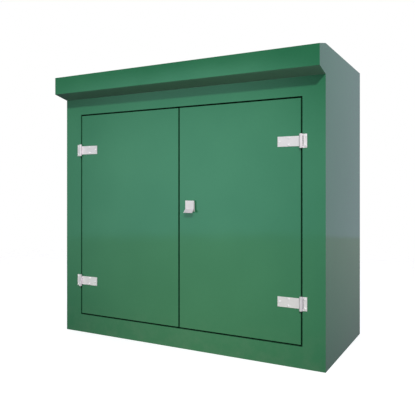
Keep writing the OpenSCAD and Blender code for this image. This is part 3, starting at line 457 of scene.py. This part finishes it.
def dress(node, materials, slot, bevel=0.0008, segments=2, pick=None):
    """A rounded copy of a CAD node that stands in its place. pick(face) gives its material's index."""
    bm = bmesh.new()
    bm.from_mesh(frame["nodes"][node].data)
    bmesh.ops.remove_doubles(bm, verts=bm.verts, dist=WELD)
    bmesh.ops.dissolve_degenerate(bm, edges=bm.edges, dist=WELD)
    bmesh.ops.dissolve_limit(bm, angle_limit=math.radians(FLAT), verts=bm.verts, edges=bm.edges)
    bm.normal_update()
    if pick is not None:
        for face in bm.faces:
            face.material_index = pick(face)
    round_edges(bm, bevel, segments)
    bmesh.ops.dissolve_degenerate(bm, edges=bm.edges, dist=WELD / 2)
    piece = from_bmesh(bm, "look_" + node, materials, body_of(node))
    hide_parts(node)
    return piece


def skin(bm, rings, capped=True):
    """Joins a row of closed rings of points, each ring to the next, and caps the first and the last."""
    for a, b in zip(rings, rings[1:]):
        for k in range(len(a)):
            m = (k + 1) % len(a)
            bm.faces.new((a[k], a[m], b[m], b[k]))
    if capped:
        bm.faces.new(rings[0])
        bm.faces.new(rings[-1][::-1])


def lathe(bm, profile, middle, axis, segments):
    """Revolves (radius, height) points about an axis through a point, and closes both ends."""
    rings = []
    for r, h in profile:
        ring = []
        for k in range(segments):
            a = 2 * math.pi * k / segments
            u, v = r * math.cos(a), r * math.sin(a)
            offset = {"z": (u, v, h), "y": (u, h, v), "x": (h, u, v)}[axis]
            ring.append(bm.verts.new(Vector(middle) + Vector(offset)))
        rings.append(ring)
    skin(bm, rings)


def box_solid(bm, low, high):
    """Adds a closed box to a bmesh."""
    for v in bmesh.ops.create_cube(bm, size=1.0)["verts"]:
        v.co = Vector([l + (c + 0.5) * (h - l) for l, c, h in zip(low, v.co, high)])


# ---------------------------------------------------------------------------
# The CAD nodes, dressed
# ---------------------------------------------------------------------------

def shell_face(face):
    """0 on the polished outside and the door return, 1 on the rough inside."""
    c, n = face.calc_center_median(), face.normal
    if abs(c.x) > half_w - NEAR or c.y > y_back - NEAR or c.z > z_roof - NEAR:
        return 0
    if c.y < y_front - NEAR:
        fascia = n.y < -0.9 and c.y < y_canopy + NEAR
        top = n.z > 0.5 and c.z > z_roof - CANOPY_MIDDLE
        underside = n.z < -0.5 and c.z < z_roof - CANOPY_MIDDLE
        return 0 if fascia or top or underside else 1
    if n.y < -0.9 and c.y < y_front + NEAR:
        return 0
    beside = abs(c.x) < open_x + RETURN_SLACK
    level = open_z0 - RETURN_SLACK < c.z < open_z1 + RETURN_SLACK
    return 0 if beside and level and y_front <= c.y <= y_door_back + RETURN_DEPTH else 1


def handle_face(face):
    """0 on the dipped grip, 1 on the bare steel round the stem."""
    return 0 if abs(face.calc_center_median().x) - valve_x > GRIP_START else 1


def cast_face(face):
    """1 on the flat machined ends of a casting, 0 on its skin."""
    n = face.normal
    return 1 if max(abs(n.x), abs(n.z)) > SQUARE and face.calc_area() > MACHINED_AREA else 0


CAST = dict(materials=["bronze", "machined_bronze"], pick=cast_face)
MACHINED = dict(materials=["machined_bronze"])
STEEL = dict(bevel=0.0005)
SCREWS = dict(materials=["screw_steel"], bevel=0.0003)
DOOR = dict(bevel=0.0014, segments=3)
HANDLE = dict(materials=["blue_grip", "zinc_steel"], pick=handle_face, bevel=0.0012, segments=3)
HOW = {
    "shell": dict(materials=["green_gelcoat", "raw_laminate"], pick=shell_face, bevel=0.002, segments=3),
    "left_door_skin": DOOR, "right_door_skin": DOOR, "left_door_liner": DOOR, "right_door_liner": DOOR,
    "hinge_plates": STEEL, "left_hinge_straps": STEEL, "right_hinge_straps": STEEL,
    "lock_cover": STEEL, "lock_escutcheon": STEEL,
    "hinge_fixings": SCREWS, "left_hinge_screws": SCREWS, "right_hinge_screws": SCREWS,
    "cover_bolts": dict(bevel=0.0004), "rod_keeps": dict(bevel=0.0003),
    "inlet_valve_handle": HANDLE, "outlet_valve_handle": HANDLE,
    "inlet_valve_body": CAST, "outlet_valve_body": CAST, "strainer_body": CAST, "rpz_body": CAST,
    "check_covers": CAST, "relief_body": CAST, "relief_cover": CAST,
    "pipe_unions": MACHINED, "strainer_cap": MACHINED,
    "test_cocks": dict(MACHINED, bevel=0.0005),
}
# Each spring's joint, wire radius and turns
SPRINGS = {
    "first_check_spring": ("first_check_lift", 0.0017, 6.5),
    "second_check_spring": ("second_check_lift", 0.0017, 6.5),
    "relief_spring": ("relief_valve_lift", 0.0014, 5.5),
}


def dress_all():
    """Dresses every node but the springs, in its record's material unless HOW names others."""
    record_slot = {part["node"]: part["material_slot"] for part in frame["record"]["subparts"]}
    dressed = {}
    for node in sorted(set(frame["nodes"]) - set(SPRINGS)):
        how = dict({"materials": [record_slot[node]]}, **HOW.get(node, {}))
        dressed[node] = dress(node, slot=record_slot[node], **how)
    return dressed


def coil_spring(node, wire_r, turns):
    """A round-wire spring with closed ends, made to the size of its CAD node."""
    per_turn, sides = 36, 12
    end_turns, wire_pitch = 0.8, 2.05 * wire_r
    low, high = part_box(node)
    cx, cy = (low.x + high.x) / 2, (low.y + high.y) / 2
    mean_r = (high.x - low.x) / 2 - wire_r
    open_l = high.z - low.z - 2 * wire_r - 2 * end_turns * wire_pitch
    count = int(turns * per_turn)
    bm = bmesh.new()
    rings = []
    for i in range(count + 1):
        done = turns * i / count
        rise = min(1.0, max(0.0, (done - end_turns) / (turns - 2 * end_turns)))
        closed = min(done, end_turns) + max(0.0, done - turns + end_turns)
        z = low.z + wire_r + closed * wire_pitch + rise * open_l
        turn = 2 * math.pi * i / per_turn
        ring = []
        for k in range(sides):
            a = 2 * math.pi * k / sides
            r = mean_r + wire_r * math.cos(a)
            point = (cx + r * math.cos(turn), cy + r * math.sin(turn), z + wire_r * math.sin(a))
            ring.append(bm.verts.new(point))
        rings.append(ring)
    skin(bm, rings)
    bmesh.ops.recalc_face_normals(bm, faces=bm.faces)
    piece = from_bmesh(bm, node + "_wire", ["spring_steel"], body_of(node))
    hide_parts(node)
    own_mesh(piece)


def flatten_diaphragm(piece):
    """The relief valve's diaphragm, given a mesh of its own."""
    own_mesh(piece)


# ---------------------------------------------------------------------------
# Trim that the CAD leaves out
# ---------------------------------------------------------------------------

def gasket(name, body, outer, inner):
    """A rubber frame round a door or its opening. outer and inner are (x0, z0, x1, z1)."""
    y0, y1 = y_front + GASKET_FRONT, y_door_back - GASKET_BACK
    bm = bmesh.new()

    def corners(rect, y):
        x0, z0, x1, z1 = rect
        return [bm.verts.new((x, y, z)) for x, z in ((x0, z0), (x1, z0), (x1, z1), (x0, z1))]

    loops = [corners(outer, y0), corners(inner, y0), corners(inner, y1), corners(outer, y1)]
    skin(bm, loops + loops[:1], capped=False)
    bmesh.ops.recalc_face_normals(bm, faces=bm.faces)
    bm.normal_update()
    round_edges(bm, GASKET_ROUND, 2)
    # The gaskets' dark green is painted light and shade from the green door returns, laid over black
    # rubber
    from_bmesh(bm, name, ["gap_rubber_painted_green"], body)


def door_gaskets():
    bite = GASKET_BITE
    for side, sign in (("left", -1), ("right", 1)):
        low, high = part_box(side + "_door_skin")
        near, far = sorted((abs(low.x), abs(high.x)))
        out_x = sorted((sign * (near - GASKET_MEETING), sign * (far + GASKET_OUT)))
        in_x = sorted((sign * (near + bite), sign * (far - bite)))
        gasket(side + "_door_gasket", side + "_door",
               (out_x[0], low.z - GASKET_OUT, out_x[1], high.z + GASKET_OUT),
               (in_x[0], low.z + bite, in_x[1], high.z - bite))
    thin = GASKET_OPENING
    gasket("opening_gasket", "cabinet", (-open_x - bite, open_z0 - bite, open_x + bite, open_z1 + bite),
           (-open_x + thin, open_z0 + thin, open_x - thin, open_z1 - thin))


def solder_rings():
    """The bright bead where each pipe enters an elbow."""
    bead = [(0.0262, -0.0021), (0.0277, -0.0017), (0.0290, -0.0006), (0.0296, 0.0006), (0.0262, 0.0006)]
    elbow_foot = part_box("pipe_elbows")[0].z
    elbow_end = riser_x - (pipe_z - elbow_foot)
    bm = bmesh.new()
    for sign in (-1, 1):
        lathe(bm, bead, (sign * riser_x, pipe_y, elbow_foot), "z", 40)
        lathe(bm, [(r, -sign * h) for r, h in bead], (sign * elbow_end, pipe_y, pipe_z), "x", 40)
    bmesh.ops.recalc_face_normals(bm, faces=bm.faces)
    from_bmesh(bm, "solder_rings", ["solder"], "cabinet")


def flow_arrow(bm, node, x, z):
    """A raised arrow that points along +X, laid on the near face of a casting."""
    mesh = frame["nodes"][node].data
    corners, faces = [v.co for v in mesh.vertices], [tuple(p.vertices) for p in mesh.polygons]
    casting = BVHTree.FromPolygons(corners, faces)
    clear_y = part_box(node)[0].y - 0.05
    across = 9
    just_past_shaft = SHAFT_HALF + 1e-6
    upper_rows = [SHAFT_HALF / 2, SHAFT_HALF, just_past_shaft, 0.005, 0.0065, HEAD_HALF]
    front, back = [], []
    for v in [-h for h in reversed(upper_rows)] + [0.0] + upper_rows:
        u0 = TAIL_END if abs(v) <= SHAFT_HALF else HEAD_START
        u1 = max(TIP_END - TIP_SLOPE * abs(v), u0 + LEAST_WIDTH)
        near_row, far_row = [], []
        for k in range(across):
            u = u0 + (u1 - u0) * k / (across - 1)
            hit = casting.ray_cast(Vector((x + u, clear_y, z + v)), Vector((0.0, 1.0, 0.0)))[0]
            near_row.append(bm.verts.new(hit + Vector((0.0, -ARROW_OUT, 0.0))))
            far_row.append(bm.verts.new(hit + Vector((0.0, ARROW_BITE, 0.0))))
        front.append(near_row)
        back.append(far_row)
    for i in range(len(front) - 1):
        for k in range(across - 1):
            bm.faces.new((front[i][k], front[i][k + 1], front[i + 1][k + 1], front[i + 1][k]))
            bm.faces.new((back[i][k], back[i + 1][k], back[i + 1][k + 1], back[i][k + 1]))
        for k in (0, across - 1):
            bm.faces.new((front[i][k], front[i + 1][k], back[i + 1][k], back[i][k]))
    for i in (0, len(front) - 1):
        for k in range(across - 1):
            bm.faces.new((front[i][k], back[i][k], back[i][k + 1], front[i][k + 1]))


def flow_arrows():
    """One arrow on the strainer and one on the first check's housing."""
    bm = bmesh.new()
    for node, (x, up) in ARROW_PLACES.items():
        flow_arrow(bm, node, x, pipe_z + up)
    bmesh.ops.recalc_face_normals(bm, faces=bm.faces)
    from_bmesh(bm, "flow_arrows", ["bronze"], "cabinet")


def board_tapes():
    """Foil tape over the joints between the insulation boards."""
    low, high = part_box("insulation_panels")
    x_in, y_in, z_in = high.x - BOARD_T, high.y - BOARD_T, high.z - BOARD_T
    z_foot, y_end = low.z + TAPE_FOOT_GAP, low.y + TAPE_END_GAP
    bm = bmesh.new()
    for sign in (-1, 1):
        on_side = sorted((sign * (x_in - TAPE_T), sign * (x_in + TAPE_BITE)))
        by_side = sorted((sign * (x_in - TAPE_W), sign * (x_in - TAPE_T)))
        box_solid(bm, (on_side[0], y_in - TAPE_W, z_foot), (on_side[1], y_in - TAPE_T, z_in - TAPE_T))
        box_solid(bm, (on_side[0], y_end, z_in - TAPE_W), (on_side[1], y_in - TAPE_W, z_in - TAPE_T))
        box_solid(bm, (by_side[0], y_in - TAPE_T, z_foot), (by_side[1], y_in + TAPE_BITE, z_in - TAPE_T))
        box_solid(bm, (by_side[0], y_end, z_in - TAPE_T), (by_side[1], y_in - TAPE_T, z_in + TAPE_BITE))
    from_bmesh(bm, "board_tapes", ["foil_tape"], "cabinet")


def domed_heads(name, body, slot, spots, y, facing, r, h):
    """Domed heads with a round drive recess, on a face square to Y. facing is the way they stand out."""
    bm = bmesh.new()
    dome = [(r, -HEAD_BITE), (r, 0.25 * h), (0.93 * r, 0.6 * h), (0.72 * r, 0.88 * h), (0.46 * r, h),
            (0.40 * r, 0.96 * h), (0.36 * r, 0.45 * h), (0.05 * r, 0.40 * h)]
    for x, z in spots:
        lathe(bm, [(a, facing * b) for a, b in dome], (x, y, z), "y", 20)
    bmesh.ops.recalc_face_normals(bm, faces=bm.faces)
    from_bmesh(bm, name, [slot], body)


def backboard_screws():
    low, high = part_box("backboard")
    xs = (low.x + SCREW_EDGE, -SCREW_X, SCREW_X, high.x - SCREW_EDGE)
    zs = (low.z + SCREW_EDGE, SCREW_Z, high.z - SCREW_EDGE)
    spots = [(x, z) for x in xs for z in zs]
    domed_heads("backboard_screws", "cabinet", "zinc_steel", spots, low.y, -1, SCREW_R, SCREW_H)


def liner_rivets():
    for side, sign in (("left", -1), ("right", 1)):
        liner_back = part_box(side + "_door_liner")[1].y
        spots = [(sign * x, z) for x in (RIVET_MEETING, RIVET_HINGE) for z in RIVET_ROWS]
        spots += [(sign * RIVET_MIDDLE, z) for z in (RIVET_ROWS[0], RIVET_ROWS[-1])]
        domed_heads(side + "_liner_rivets", side + "_door", "stainless", spots, liner_back, 1,
                    RIVET_R, RIVET_H)


dressed = dress_all()
for spring, (lift, wire_r, turns) in SPRINGS.items():
    coil_spring(spring, wire_r, turns)
flatten_diaphragm(dressed["relief_diaphragm"])
door_gaskets()
solder_rings()
flow_arrows()
board_tapes()
backboard_screws()
liner_rivets()


# ---------------------------------------------------------------------------
# Stage, lights, camera
# ---------------------------------------------------------------------------

# The floor lies just under the foot, so that the two don't share a plane
FLOOR_RADIUS, FLOOR_DROP = 7.0, 0.0005
# The floor's own colours out in the open, and a darker grey painted shade under the cabinet
FLOOR_PALE, FLOOR_LIGHT = rgb(0.86, 0.86, 0.86), rgb(0.90, 0.90, 0.90)
SHADE_UNDER_DARK, SHADE_UNDER_LIGHT = rgb(0.40, 0.40, 0.39), rgb(0.54, 0.53, 0.51)
# What the floor bounces onto the object, close to it and far off
BOUNCE_NEAR, BOUNCE_FAR = rgb(0.06, 0.07, 0.06), rgb(0.62, 0.61, 0.58)
# How far inside the footprint the painted shade starts, and the light that lifts the rest towards white
SHADE_INSET, FLOOR_GLOW = 0.01, 0.45

# The surround: white when seen, even when it fills shadows, and a wall over a ground when it is mirrored
WHITE = rgb(1.0, 1.0, 1.0)
FILL = rgb(0.44, 0.44, 0.50)
WALL_FRONT, WALL_BACK = rgb(0.10, 0.12, 0.14), rgb(0.52, 0.52, 0.64)
GROUND_FAR, GROUND_NEAR = rgb(0.40, 0.41, 0.42), rgb(0.02, 0.03, 0.04)
SIDE_FAR, SIDE_NEAR = rgb(0.45, 0.44, 0.47), rgb(0.25, 0.24, 0.29)
# The bright ground in front of the doors, and the glow on the wall over it
AHEAD_FAR, AHEAD_NEAR = rgb(1.14, 1.27, 1.00), rgb(0.84, 1.04, 0.62)
GLOW = rgb(1.32, 1.62, 1.63)
GLOW_AIM_X, GLOW_AIM_Y = -0.480, -0.877
GLOW_HALF_WIDTH, GLOW_HEIGHT, AHEAD_NARROWING = 0.342, 0.284, 1.4
# Where the wall meets the ground and where the ground turns dark, as the Z of a direction
HORIZON_TOP, HORIZON_FOOT = -0.0895, -0.0935
DEEP_START, DEEP_END = -0.105, -0.32
# The front wall's brightness over its slope above the horizon: up to BAND_GAIN, then down to nothing
BAND_RISE, BAND_FALL, BAND_GAIN = (0.222, 0.238), (0.243, 0.282), 1.5

LAMP_POWER, LAMP_SIZE, LAMP_COLOUR = 610.0, 0.64, (1.0, 0.985, 0.965)
LAMP_PLACE, LAMP_AIM = (3.83, -7.30, 6.05), (0.0, -0.26, 0.60)
CAMERA_PLACE, CAMERA_TURN = (1.1915, -2.2158, 0.7019), 28.19
CAMERA_LENS, CAMERA_SHIFT = 45.325, (-0.0008, -0.0479)


def floor_material():
    """Pale and fading to white where it is seen, with a mottled grey painted shade inside the cabinet's
    footprint.
    What it bounces onto the object is dimmer close to the cabinet."""
    material, g = new_material("floor")
    seen = g.add("LightPath").outputs["Is Camera Ray"]
    place = g.split(g.where)
    x_from_middle = g.math("ABSOLUTE", place["X"])
    y_from_middle = g.math("ABSOLUTE", place["Y"])
    dx = g.math("MAXIMUM", g.math("SUBTRACT", x_from_middle, half_w), 0.0)
    dy = g.math("MAXIMUM", g.math("SUBTRACT", y_from_middle, y_back), 0.0)
    away = g.math("SQRT", g.math("ADD", g.times(dx, dx), g.times(dy, dy)))
    within_x = g.math("LESS_THAN", x_from_middle, half_w - SHADE_INSET)
    within_y = g.times(g.math("GREATER_THAN", place["Y"], y_front + SHADE_INSET),
                       g.math("LESS_THAN", place["Y"], y_back - SHADE_INSET))
    under = g.times(within_x, within_y)
    pale = g.mix(g.ramp(g.noise(g.where, 3.0, 3.0), 0.3, 0.7), FLOOR_PALE, FLOOR_LIGHT)
    # Painted shade: a darker mottled grey inside the footprint, where the cabinet keeps the light off
    under_shade = g.mix(g.ramp(g.noise(g.where, 40.0, 8.0, 0.7), 0.3, 0.7), SHADE_UNDER_DARK, SHADE_UNDER_LIGHT)
    bounce = g.mix(g.ramp(away, 0.05, 1.1), BOUNCE_NEAR, BOUNCE_FAR)
    diffuse = g.add("BsdfDiffuse", Color=g.mix(seen, bounce, g.mix(under, pale, under_shade)))
    glow = g.add("Emission", Strength=g.times(seen, g.ramp(under, 0.0, 1.0, FLOOR_GLOW, 0.0)))
    lit = g.add("AddShader")
    g.put(lit.inputs[0], diffuse.outputs[0])
    g.put(lit.inputs[1], glow.outputs[0])
    fade = g.add("MixShader", Fac=g.times(seen, g.ramp(away, 0.8, 3.2)))
    g.put(fade.inputs[1], lit.outputs[0])
    g.put(fade.inputs[2], g.add("BsdfTransparent").outputs[0])
    g.put(g.out.inputs["Surface"], fade.outputs[0])
    return material


def stage():
    """A round floor under the object, which reflections don't show."""
    bm = bmesh.new()
    bmesh.ops.create_circle(bm, cap_ends=True, radius=FLOOR_RADIUS, segments=96)
    mesh = bpy.data.meshes.new("floor")
    bm.to_mesh(mesh)
    bm.free()
    mesh.materials.append(floor_material())
    floor = bpy.data.objects.new("floor", mesh)
    floor.location.z = -FLOOR_DROP
    floor.visible_glossy = False
    bpy.context.scene.collection.objects.link(floor)


def mirrored_wall(g, axes, aside, ahead):
    """A dark wall with a soft glow in front of the doors, and a paler one behind."""
    above = g.math("POWER", g.math("DIVIDE", g.math("MAXIMUM", axes["Z"], 0.0), GLOW_HEIGHT), 2.0)
    lobe = g.math("SUBTRACT", g.math("SUBTRACT", 1.0, aside), above, clamp=True)
    front = g.mix(g.times(lobe, ahead), WALL_FRONT, GLOW)
    slope = g.math("DIVIDE", axes["Z"], g.math("MAXIMUM", g.times(axes["Y"], -1.0), 0.05))
    rise, fall = g.ramp(slope, *BAND_RISE, 1.0, BAND_GAIN), g.ramp(slope, *BAND_FALL, 0.0, -BAND_GAIN)
    gain = g.math("ADD", rise, fall)
    gain_colour = g.add("CombineXYZ", X=gain, Y=gain, Z=gain).outputs[0]
    front = g.mix(1.0, front, gain_colour, "MULTIPLY")
    return g.mix(g.ramp(axes["Y"], -0.2, 0.2), front, WALL_BACK)


def mirrored_ground(g, axes, aside, ahead):
    """A ground that darkens towards the object, with a bright patch in front of the doors."""
    deep = g.ramp(axes["Z"], DEEP_START, DEEP_END)
    left, right = g.mix(deep, GROUND_FAR, GROUND_NEAR), g.mix(deep, SIDE_FAR, SIDE_NEAR)
    ground = g.mix(g.ramp(axes["X"], -0.1, 0.1), left, right)
    lobe = g.math("SUBTRACT", 1.0, g.times(aside, AHEAD_NARROWING), clamp=True)
    return g.mix(g.times(lobe, ahead), ground, g.mix(deep, AHEAD_FAR, AHEAD_NEAR))


def studio():
    """The surround: white seen directly, an even fill, and a wall over a ground in reflections."""
    world = bpy.data.worlds.new("studio")
    bpy.context.scene.world = world
    world.use_nodes = True
    g = Graph(world.node_tree)
    path = g.add("LightPath").outputs
    direction = g.add("TexCoord").outputs["Generated"]
    axes = g.split(direction)
    across = g.dot(direction, (GLOW_AIM_Y, -GLOW_AIM_X, 0.0))
    aside = g.math("POWER", g.math("DIVIDE", across, GLOW_HALF_WIDTH), 2.0)
    ahead = g.ramp(axes["Y"], 0.1, -0.3)
    wall, ground = mirrored_wall(g, axes, aside, ahead), mirrored_ground(g, axes, aside, ahead)
    mirrored = g.mix(g.ramp(axes["Z"], HORIZON_TOP, HORIZON_FOOT), wall, ground)
    around = g.mix(path["Is Diffuse Ray"], mirrored, FILL)
    background = g.add("Background", Color=g.mix(path["Is Camera Ray"], around, WHITE), Strength=1.0)
    g.put(g.add("OutputWorld").inputs["Surface"], background.outputs[0])


def key_light():
    """One soft lamp high on the right, far enough off for the canopy's shadow to keep a firm edge."""
    lamp = bpy.data.lights.new("key", "AREA")
    lamp.shape = "DISK"
    lamp.size = LAMP_SIZE
    lamp.energy = LAMP_POWER
    lamp.color = LAMP_COLOUR
    key = bpy.data.objects.new("key", lamp)
    key.location = LAMP_PLACE
    aim = Vector(LAMP_AIM) - key.location
    key.rotation_euler = aim.to_track_quat("-Z", "Y").to_euler()
    bpy.context.scene.collection.objects.link(key)


def camera():
    """A level camera in front of the cabinet and to its right."""
    data = bpy.data.cameras.new("camera")
    data.sensor_width = 36.0
    data.lens = CAMERA_LENS
    data.shift_x, data.shift_y = CAMERA_SHIFT
    data.clip_start, data.clip_end = 0.05, 60.0
    cam = bpy.data.objects.new("camera", data)
    cam.location = CAMERA_PLACE
    cam.rotation_euler = (math.pi / 2, 0.0, math.radians(CAMERA_TURN))
    bpy.context.scene.collection.objects.link(cam)
    bpy.context.scene.camera = cam


stage()
studio()
key_light()
camera()
bpy.context.scene.view_settings.view_transform = "Standard"
